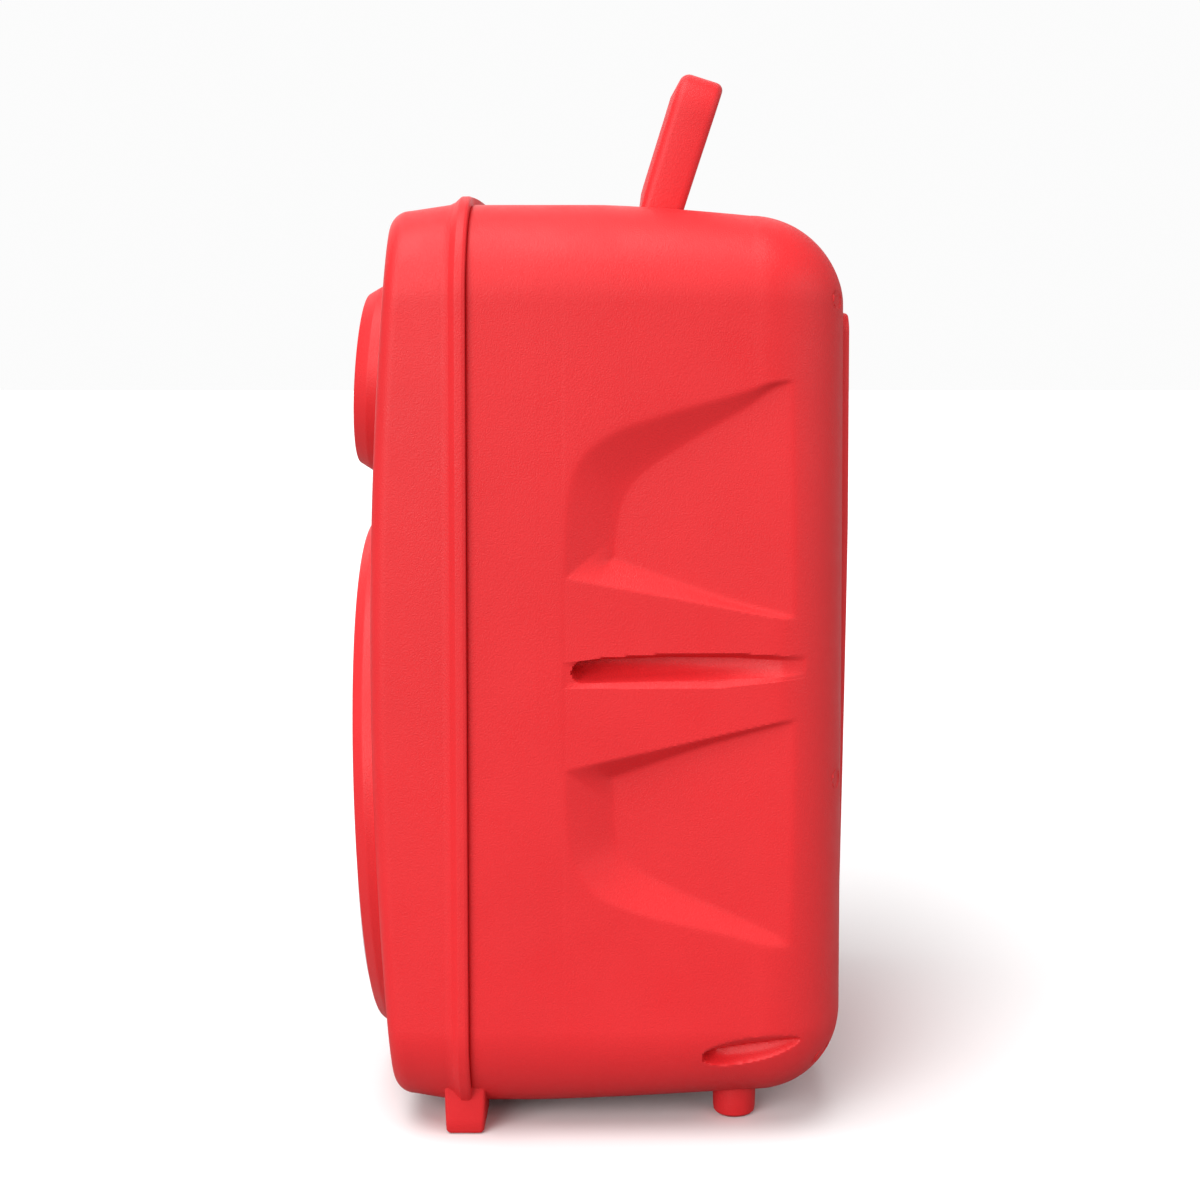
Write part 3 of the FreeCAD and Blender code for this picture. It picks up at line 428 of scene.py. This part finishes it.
def slot_depth(y, z):
    """The tapering groove along the middle of the blade: sharp edge above, round front end, sloping lip below."""
    upper = np.interp(y, [-11, 5, 30, 55, 84], [188.8, 190.8, 192.3, 192.3, 190.6])
    groove_foot = np.interp(y, [-11, 45, 84], [180.8, 181.7, 183.8])
    lower = np.interp(y, [-11, 47.5, 84], [179.0, 178.9, 182.8])
    fade = np.clip((82 - y) / 30, 0, 1)
    lip = np.minimum(np.minimum((z - lower) * 0.85, 2.0), (upper - z) * 1.4)
    lip = lip * fade * np.clip((y + 10.4) / 10, 0, 1)
    middle, half = (upper + groove_foot) / 2, (upper - groove_foot) / 2
    end = np.sqrt(np.clip(1 - ((-3.5 - np.minimum(y, -3.5)) / 4.0) ** 2, 0, 1))
    share = (z - middle) / (half * end + 1e-6)
    below_top = np.clip((1 - share) / 2, 0, 1)
    bottom = np.interp(y, [-8, 2, 40, 70, 84], [11.0, 11.0, 6.8, 2.0, 0.0])
    groove = bottom * np.minimum(1, below_top / 0.24) ** 0.8 * (1 - below_top ** 3.2)
    depth = lip + np.where((np.abs(share) < 1) & (end > 0.02), groove, 0)
    return np.where((z > lower) & (z < upper) & (fade > 0) & (y > -10.4), np.maximum(depth, 0), -1.0)


def eye_depth(y, z):
    """The small eye-shaped scoop low at the back of the flank, deepest at its front end and below its ledge."""
    tilt = math.radians(9.5)
    middle_y, middle_z, half_length = 62.0, 37.0, 19.5
    along = (y - middle_y) * math.cos(tilt) + (z - middle_z) * math.sin(tilt)
    over = (z - middle_z) * math.cos(tilt) - (y - middle_y) * math.sin(tilt)
    share = np.clip(along / half_length, -1, 1)
    lens = np.sqrt(np.clip(1 - share ** 2, 0, 1))
    upper, lower = 5.4 * lens * (1 - 0.12 * share), -5.0 * lens * (1 - 0.35 * share)
    within = (np.abs(along) < half_length) & (over < upper) & (over > lower)
    height = np.maximum(upper - lower, 1e-6)
    level = (over - lower) / height
    deep = (7.5 * np.sqrt((1 - share) / 2) + 0.8) * np.minimum(1, height / 4)
    bowl_and_ledge = np.interp(level, [0, 0.25, 0.5, 0.58, 0.74, 1], [0, 0.7, 1, 1, 0.45, 0])
    return np.where(within, deep * bowl_and_ledge, -1.0)


def sculpt_flank(points):
    """Press the flank's sculpture into the skin of the rear shell, on both sides alike."""
    x, y, z = points[:, 0], points[:, 1], points[:, 2]
    reach = np.abs(x)
    chosen = (reach > 84) & (y > -20)
    yy, zz, surface = y[chosen], z[chosen], reach[chosen]
    upper = recess_depth(UPPER_EDGE, UPPER_FLOOR, UPPER_BLADE, UPPER_FOOT, yy, zz)
    lower = recess_depth(LOWER_EDGE, LOWER_FLOOR, LOWER_BLADE, LOWER_FOOT, yy, zz)
    blade_zone = np.minimum((yy - FLANK_FRONT) * 0.022, 2.0)
    blade_zone = np.where((zz < 224) & (zz > 144), blade_zone, -5.0)
    blade_zone = np.where(yy < FLANK_FRONT, -(FLANK_FRONT - yy) * 0.3, blade_zone)
    depth = np.maximum(np.maximum(upper, lower), blade_zone)
    shaped = soft_min(surface, HALF_WIDTH - depth, 0.5)
    slot = slot_depth(yy, zz)
    slot_face = np.minimum(shaped, HALF_WIDTH - 0.3 - blade_zone.clip(0))
    shaped = np.where(slot > 0, soft_min(shaped, slot_face - slot, 0.2), shaped)
    eye = eye_depth(yy, zz)
    shaped = np.where(eye > 0, shaped - eye, shaped)
    points[chosen, 0] = np.sign(x[chosen]) * shaped
    return points


# ---------------------------------------------------------------- shells

def rear_skin():
    """Rings of the rear shell from the joint back round the large rear radius."""
    radius = mixed(34, 37, 34)
    places = []
    bend = BACK - radius
    starts = [(PARTING + 0.05, 0.6), (PARTING + 0.2, 0.25), (PARTING + 0.5, 0.08), (PARTING + 1.0, 0.01)]
    shares = np.linspace(0, 1, 160)
    rings = [(np.full(COUNT, y), np.full(COUNT, inset)) for y, inset in starts]
    for share in shares:
        y = (PARTING + 1.8) * (1 - share) + bend * share
        top_drop = 4.2 * np.clip((y - 2) / 60, 0, 1) ** 1.4
        bottom_drop = 4.6 * np.clip((y + 25) / 88, 0, 1) ** 1.4
        side_drop = 1.0 * np.clip((y + 10) / 72, 0, 1) ** 1.5
        rings.append((y, mixed(side_drop, top_drop, bottom_drop)))
    y_end, inset_end = rings[-1]
    for angle in np.linspace(0, math.pi / 2, 62)[1:]:
        rings.append((y_end + radius * math.sin(angle), inset_end + radius * (1 - math.cos(angle)) * 0.985))
    for y, inset in rings:
        crown = 3.0 * np.clip(1 - (np.mean(y) - PARTING) / 110, 0.1, 1)
        outline = outline_at(inset, crown * np.clip(1 - inset / 20, 0, 1))
        places.append(np.stack([outline[:, 0], y, outline[:, 1]], -1))
    return places


def plate_ring(half, low, high, radius, depth_at):
    """A rounded ring of the back's outline, at the depth that depth_at gives for each height."""
    outline, _ = front_view(half, low, high, radius)
    return np.stack([outline[:, 0], depth_at(outline[:, 1]), outline[:, 1]], -1)


def rear_shell():
    rings = [cut_handle_recess(sculpt_flank(ring)) for ring in rear_skin()]
    for inset, share in ((-0.9, 0.0), (-0.3, 0.12), (0, 0.45), (0.3, 0.8), (0.8, 0.96), (1.5, 1.0)):
        rings.append(plate_ring(89.4 - inset, 60.6 + inset, 323.5 - inset, 8 - inset,
                                lambda z: BACK + (plateau_plane(z) - BACK) * share))
    half, low, high, radius = PANEL_BOX
    for grow, drop in ((1.5, 0.0), (0.7, 0.12), (0.2, 0.5), (0.0, 1.2)):
        rings.append(plate_ring(half + grow, low - grow, high + grow, radius + grow,
                                lambda z: plateau_plane(z) - drop))
    recess_steps = ((PANEL_BOX, 87.4), ((83.4, 154.6, 275.4, 4.4), 87.0), ((77, 161, 269, 3), 87.0),
                    ((77, 161, 269, 3), 84.0))
    for box, depth in recess_steps:
        rings.append(plate_ring(*box, lambda z: np.full_like(z, depth)))
    points = screw_plugs(np.vstack(rings))
    return piece("rear_shell_skin", points, ring_faces(len(rings), COUNT), "red_shell", replaces=["rear_shell"])


def screw_plugs(points):
    """Mark the plugs over the case screws in the rounded edge of the back, sunk by half a millimetre."""
    plug_radius, plug_edge, rim_end, sunk = 3.0, 3.8, 4.4, 0.5
    behind = points[:, 1] > 20
    for x in (-104, 104):
        for z in (30, 140, 328):
            reach = np.hypot(points[:, 0] - x, points[:, 2] - z)
            rim = behind & (reach > plug_radius) & (reach < rim_end)
            scale = plug_edge / reach[rim]
            points[rim, 0] = x + (points[rim, 0] - x) * scale
            points[rim, 2] = z + (points[rim, 2] - z) * scale
            points[behind & (reach <= plug_radius), 1] -= sunk
    return points


def cut_handle_recess(ring):
    """Drop the top of a ring to the recess floor where the handle folds away."""
    half_width, start_y, end_y, floor_z = 76.1, -43.5, 36.9, 346.0
    top = (TOP_SHARE > 0.999) & (np.abs(ring[:, 0]) < half_width)
    within = top & (ring[:, 1] > start_y) & (ring[:, 1] < end_y)
    ring[within, 2] = floor_z
    return ring


def front_surface(x, z):
    """Y of the baffle, bowed in height and in width."""
    return FRONT_APEX + 10.0 * ((z - MIDDLE) / 190) ** 2 + 7.5 * (x / HALF_WIDTH) ** 2


def front_shell():
    bead = rounded_path([(PARTING, -3.0), (PARTING, 2.9), (PARTING - 1.2, 3.4), (PARTING - 4.0, 3.3),
                         (PARTING - 6.4, 1.1), (PARTING - 8.6, 0.0)], 0.8, 4)
    rings = []
    for y, proud in bead:
        outline = outline_at(-proud, 3.2)
        rings.append(np.stack([outline[:, 0], np.full(COUNT, y), outline[:, 1]], -1))
    draft = mixed(1.6, 2.4, 2.6)
    fillet = mixed(6.5, 7.5, 7.5)
    start_y = bead[-1][0]
    edge = outline_at(draft, 2.6)
    edge_y = front_surface(edge[:, 0], edge[:, 1]) + fillet
    for share in np.linspace(0, 1, 22)[1:]:
        outline = outline_at(draft * share, 3.2 - 0.6 * share)
        rings.append(np.stack([outline[:, 0], start_y + (edge_y - start_y) * share, outline[:, 1]], -1))
    for angle in np.linspace(0, math.pi / 2, 12)[1:]:
        outline = outline_at(draft + fillet * (1 - math.cos(angle)), 2.6)
        y = front_surface(outline[:, 0], outline[:, 1]) + fillet * (1 - math.sin(angle))
        rings.append(np.stack([outline[:, 0], y, outline[:, 1]], -1))
    rim = rings[-1][:, [0, 2]]
    for share in np.linspace(1, 0.02, 60)[1:]:
        outline = np.stack([rim[:, 0] * share, MIDDLE + (rim[:, 1] - MIDDLE) * share], -1)
        rings.append(np.stack([outline[:, 0], front_surface(outline[:, 0], outline[:, 1]), outline[:, 1]], -1))
    points = np.vstack(rings)
    faces = ring_faces(len(rings), COUNT)
    centres = points[faces].mean(axis=1)
    at_front = centres[:, 1] < -74
    woofer_hole = np.hypot(centres[:, 0], centres[:, 2] - WOOFER_Z) < 107
    tweeter_hole = np.hypot(centres[:, 0], centres[:, 2] - TWEETER_Z) < 37
    faces = faces[~(at_front & (woofer_hole | tweeter_hole))]
    return piece("front_shell_skin", points, faces, "red_shell", replaces=["front_shell"])


def bezel(name, node, profile, centre_z):
    """A turned ring that follows the bow of the baffle."""
    points, faces = turned(profile, centre_z)
    points[:, 1] += front_surface(points[:, 0], points[:, 2])
    return piece(name, points, faces, "red_shell", replaces=[node])


def bezels():
    woofer = rounded_path([(8, 104.6), (-6.6, 104.6), (-8.0, 107.5), (-8.0, 109.6), (-4.0, 113.0), (1.5, 113.4),
                           (1.5, 116.8), (3.5, 117.4)], 2.2, 6)
    bezel("woofer_bezel", "woofer_ring", woofer, WOOFER_Z)
    tweeter = rounded_path([(8, 33.6), (-12.2, 33.6), (-14.6, 35.2), (-14.8, 37.2), (-9.0, 40.8), (-1.0, 41.6),
                            (-1.0, 45.5), (1.0, 46.5)], 2.0, 6)
    bezel("tweeter_bezel", "tweeter_ring", tweeter, TWEETER_Z)


# ---------------------------------------------------------------- handle and feet

PIVOT = np.array([0, 25.5, 358.0])
LEAN = math.radians(17.7)
REACH = 65.4


def section(width, depth, radius, steps=5):
    """A rounded rectangle as offsets (across, fore-and-aft)."""
    points = []
    for cx, cy, start in ((1, 1, 0), (-1, 1, 90), (-1, -1, 180), (1, -1, 270)):
        for angle in np.linspace(start, start + 90, steps + 1):
            a = math.radians(angle)
            points.append((cx * (width / 2 - radius) + radius * math.cos(a),
                           cy * (depth / 2 - radius) + radius * math.sin(a)))
    return np.array(points)


def handle():
    """A bail of one tapered section swept up one arm, along the grip and down the other arm."""
    arm = 12.0
    centre = 75 - arm / 2
    path = rounded_path([(centre, -7.4), (centre, REACH - 8.0), (-centre, REACH - 8.0), (-centre, -7.4)], 10, 10)
    path = np.vstack([path[:1], path[:1] + (path[1] - path[0]) * np.linspace(0.03, 0.97, 16)[:, None], path[1:-1],
                      path[-2:-1] + (path[-1] - path[-2]) * np.linspace(0.03, 0.97, 16)[:, None], path[-1:]])
    ways = np.gradient(path, axis=0)
    ways /= np.linalg.norm(ways, axis=1)[:, None]
    rings = []
    for (x, up), way in zip(path, ways):
        across = np.array([way[1], -way[0]])
        depth = 16.4 + 1.0 * np.clip(up / REACH, 0, 1)
        width = arm + 2.6 * (1 - abs(way[1]))
        if up < 0:
            depth = 2 * math.sqrt(max(8.2 ** 2 - up ** 2, 0.5))
        shape = section(width, depth, min(3.2, depth / 2.2))
        inner = 0.5 - 0.5 * np.clip(shape[:, 0] / (width / 2), -1, 1)
        flare = 2.8 * inner * (shape[:, 1] < 0) * np.clip(up / 12, 0, 1)
        rings.append(np.stack([x + across[0] * shape[:, 0], shape[:, 1] - flare, up + across[1] * shape[:, 0]], -1))
    points = np.vstack(rings)
    count = len(rings[0])
    faces = [list(face) for face in ring_faces(len(rings), count)]
    faces += [list(range(count))[::-1], list(range(len(points) - count, len(points)))]
    lean = np.array([[1, 0, 0], [0, math.cos(LEAN), math.sin(LEAN)], [0, -math.sin(LEAN), math.cos(LEAN)]])
    points = points @ lean.T + PIVOT
    return piece("handle_bail", points, faces, "red_shell", body="handle", replaces=["handle"])


def feet():
    """Two bars at the front and two round pegs at the back, all running up into the shells."""
    points, faces = [], []
    levels = ((19.5, 0.6), (6, 0.2), (1.6, 0), (0.5, -0.6), (0, -1.8))
    for x in (-99, 99):
        start = len(points)
        for z, grow in levels:
            outline = section(28 + 2 * grow, 15 + 2 * grow, 1.6)
            points += [(x + across, -50.2 + deep, z) for across, deep in outline]
        count = len(outline)
        faces += [list(face) for face in ring_faces(len(levels), count, start)]
        faces.append(list(range(len(points) - count, len(points))))
    piece("front_foot_bars", points, faces, "red_shell", replaces=["front_feet"])
    points, faces = [], []
    profile = ((20, 8.9), (10, 8.7), (3, 8.5), (1.2, 8.2), (0.3, 7.3), (0, 6.0), (0, 0.01))
    segments = 48
    for x in (-89, 89):
        start = len(points)
        for z, radius in profile:
            for angle in np.linspace(0, 2 * math.pi, segments, endpoint=False):
                points.append((x + radius * math.cos(angle), 57 + radius * math.sin(angle), z))
        faces += [list(face) for face in ring_faces(len(profile), segments, start)]
    piece("rear_foot_pegs", points, faces, "red_shell", replaces=["rear_feet"])


# ---------------------------------------------------------------- grilles, light ring, controls

def perforated(name, node, centre_z, radius, y_face, crown, pitch, hole, rim_y):
    """A crowned sheet with staggered round holes, and a plain turned-back rim."""
    points, faces = [], []
    sides, sheet, margin = 12, 0.8, 4.2
    hexagon = []
    for k in range(6):
        for share in (0, 0.5):
            a, b = math.radians(60 * k + 30), math.radians(60 * k + 90)
            hexagon.append(((1 - share) * math.cos(a) + share * math.cos(b),
                            (1 - share) * math.sin(a) + share * math.sin(b)))
    hexagon = np.array(hexagon) * pitch / math.sqrt(3)
    angle = np.radians(np.arange(sides) * 30 + 30)
    ring = np.stack([np.cos(angle), np.sin(angle)], -1) * hole

    def depth(x, z):
        return y_face - crown * (1 - (x * x + z * z) / radius ** 2)

    rows = int(radius / (pitch * 0.866)) + 1
    for row in range(-rows, rows + 1):
        for column in range(-rows - 2, rows + 3):
            cx = (column + 0.5 * (row % 2)) * pitch
            cz = row * pitch * math.sqrt(3) / 2
            if math.hypot(cx, cz) > radius - margin:
                continue
            start = len(points)
            for outline, push in ((hexagon, 0), (ring, 0), (ring, sheet)):
                for x, z in outline + (cx, cz):
                    points.append((x, depth(x, z) + push, z + centre_z))
            faces += [list(face) for face in ring_faces(3, sides, start)]
    border = [(rim_y, radius), (y_face + 1.2, radius), (y_face + 0.35, radius - 0.35), (y_face - 0.05, radius - 1.2)]
    border += [(depth(radius - back, 0) - 0.12, radius - back) for back in (3.5, 6.5)]
    border += [(depth(radius - 6.5, 0) + sheet, radius - 6.6)]
    more, quads = turned(border, centre_z, 144)
    start = len(points)
    points = np.vstack([np.array(points), more])
    faces += [list(face) for face in quads + start]
    piece(name, points, faces, "grille_metal", replaces=[node])


def light_ring():
    """The diffuser ring between bezel and grille, with a rounded face."""
    profile = rounded_path([(-80.6, 100.5), (-93.6, 100.5), (-93.6, 104.1), (-80.6, 104.1)], 1.5, 6)
    points, faces = turned(profile, WOOFER_Z)
    piece("light_ring_diffuser", points, faces, "led_diffuser", replaces=["led_ring"])


KNOBS = {"volume": (0, 232, 13), "microphone": (-62, 206, 8.5), "echo": (-31, 206, 8.5), "bass": (31, 206, 8.5),
         "treble": (62, 206, 8.5)}


def knob(name, x, z, radius):
    """A fluted knob with a flange, a dished face and a raised pointer rib."""
    segments = 192
    angle = np.linspace(0, 2 * math.pi, segments, endpoint=False)
    flutes = 0.5 * (1 - np.cos(angle * 24)) ** 1.5 * 0.3
    # height of each ring, its radius, and how much of the flutes it has
    levels = [(91.0, radius + 0.7, 0), (91.25, radius + 0.95, 0), (92.1, radius + 0.95, 0),
              (92.5, radius + 0.5, 0), (92.7, radius - 0.1, 0.3), (93.4, radius - 0.15, 1),
              (101.0, radius - 0.75, 1), (101.9, radius - 1.0, 0.8), (102.4, radius - 1.5, 0.3),
              (102.5, radius - 2.2, 0), (102.2, radius - 2.9, 0), (101.8, radius - 3.6, 0),
              (101.7, radius * 0.3, 0), (101.7, 0.05, 0)]
    points = []
    for y, reach, share in levels:
        r = reach - flutes * share
        points.append(np.stack([x + r * np.cos(angle), np.full(segments, y), z + r * np.sin(angle)], -1))
    piece(f"{name}_knob_cap", np.vstack(points), ring_faces(len(levels), segments), "knob_plastic",
          body=f"{name}_control", replaces=[f"{name}_knob"])
    strip = rounded_strip(x, z + radius * 0.58, 1.1, radius * 0.72, 101.6, 102.75, 0.5)
    piece(f"{name}_pointer", *strip, "print_white", body=f"{name}_control", slot="knob_plastic")


def rounded_strip(x, z, width, height, y_low, y_high, radius, turn=0.0):
    """A rounded bar standing on a surface that faces +Y, turned in its plane."""
    base = section(width, height, min(radius, width / 2 - 0.01, height / 2 - 0.01), 4)
    c, s = math.cos(turn), math.sin(turn)
    points, faces = [], []
    for y, shrink in ((y_low, 1.0), (y_high - 0.1, 1.0), (y_high, 0.86)):
        for across, up in base * shrink:
            points.append((x + across * c - up * s, y, z + across * s + up * c))
    count = len(base)
    faces += [list(face) for face in ring_faces(3, count)]
    faces.append(list(range(2 * count, 3 * count)))
    return np.array(points), faces


def joined(parts):
    """One set of points and faces from several."""
    points, faces = [], []
    for some, quads in parts:
        start = sum(len(block) for block in points)
        points.append(np.asarray(some))
        faces += [[int(i) + start for i in face] for face in quads]
    return np.vstack(points), faces


def panel_marks():
    """Dial ticks round every knob, thin frames and plain symbols printed on the control panel."""
    face, ink = PANEL_FACE, PANEL_FACE + 0.12
    parts = []
    for x, z, radius in KNOBS.values():
        for step in range(11):
            turn = math.radians(-150 + 30 * step)
            reach = radius + (3.8 if step % 5 else 4.2)
            length = 1.5 if step % 5 else 2.6
            parts.append(rounded_strip(x + reach * math.sin(turn), z + reach * math.cos(turn), 0.5, length, face, ink,
                                       0.2, -turn))
    for z in (220.5, 191.0):
        for x in (-46.5, 46.5):
            parts.append(rounded_strip(x, z, 68, 0.5, face, ink, 0.2))
    for x in (2, 27, 56):
        parts.append(rounded_strip(x, 183.5, 10, 0.6, face, ink, 0.25))
    for x in (-40, -20):
        parts.append(rounded_strip(x, 180.0, 11, 0.6, face, ink, 0.25))
    piece("panel_printing", *joined(parts), "print_white", slot="black_plastic")


def button_marks():
    """Raised play, skip, back and mode signs on the buttons."""
    top, ink = BUTTON_TOP, BUTTON_TOP + 0.25

    def wedge(x, z, size, way):
        tail, tip = x - way * size * 0.5, x + way * size * 0.55
        corners = [(tail, z - size * 0.6), (tip, z), (tail, z + size * 0.6)]
        points = [(a, y, b) for y in (top, ink) for a, b in corners]
        return np.array(points), [[0, 1, 4, 3], [1, 2, 5, 4], [2, 0, 3, 5], [3, 4, 5]]

    signs = {
        "mode": [rounded_strip(-67, BUTTON_Z + dz, 4.2, 0.7, top, ink, 0.3) for dz in (-1.6, 0, 1.6)],
        "previous": [wedge(-48.1, BUTTON_Z, 3.4, 1), wedge(-45.8, BUTTON_Z, 3.4, 1)],
        "play": [wedge(48.0, BUTTON_Z, 3.8, -1), rounded_strip(45.0, BUTTON_Z, 0.8, 3.8, top, ink, 0.3)],
        "next": [wedge(68.1, BUTTON_Z, 3.4, -1), wedge(65.8, BUTTON_Z, 3.4, -1)],
    }
    for name, parts in signs.items():
        piece(f"{name}_sign", *joined(parts), "print_white", body=f"{name}_button", slot="button_rubber")


def display_digits():
    """Four seven-bar figures on the display, showing 88:88."""
    middle_z, glass, ink = 260, 90.3, 90.36
    bars = [(0, dz, 3.4, 0.8) for dz in (4, 0, -4)]
    bars += [(dx, dz, 0.8, 3.0) for dz in (2, -2) for dx in (-2.3, 2.3)]
    parts = [rounded_strip(x + dx, middle_z + dz, wide, tall, glass, ink, 0.3)
             for x in (-16, -7, 5, 14) for dx, dz, wide, tall in bars]
    parts += [rounded_strip(-1, middle_z + dz, 0.9, 0.9, glass, ink, 0.3) for dz in (-1.8, 1.8)]
    piece("display_figures", *joined(parts), "print_white", slot="window_smoke")


def details():
    perforated("woofer_grille_sheet", "woofer_grille", WOOFER_Z, 99.9, -90.2, 4.0, 5.2, 1.75, -80.8)
    perforated("tweeter_grille_sheet", "tweeter_grille", TWEETER_Z, 32.7, -99.2, 2.2, 4.4, 1.4, -88.5)
    light_ring()
    for name, (x, z, radius) in KNOBS.items():
        knob(name, x, z, radius)
    panel_marks()
    button_marks()
    display_digits()


make_camera()
make_studio()
rear_shell()
front_shell()
bezels()
handle()
feet()
details()
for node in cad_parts.values():
    for holder in node.material_slots:
        holder.material = MATERIALS[holder.material.name.split(".")[0]]
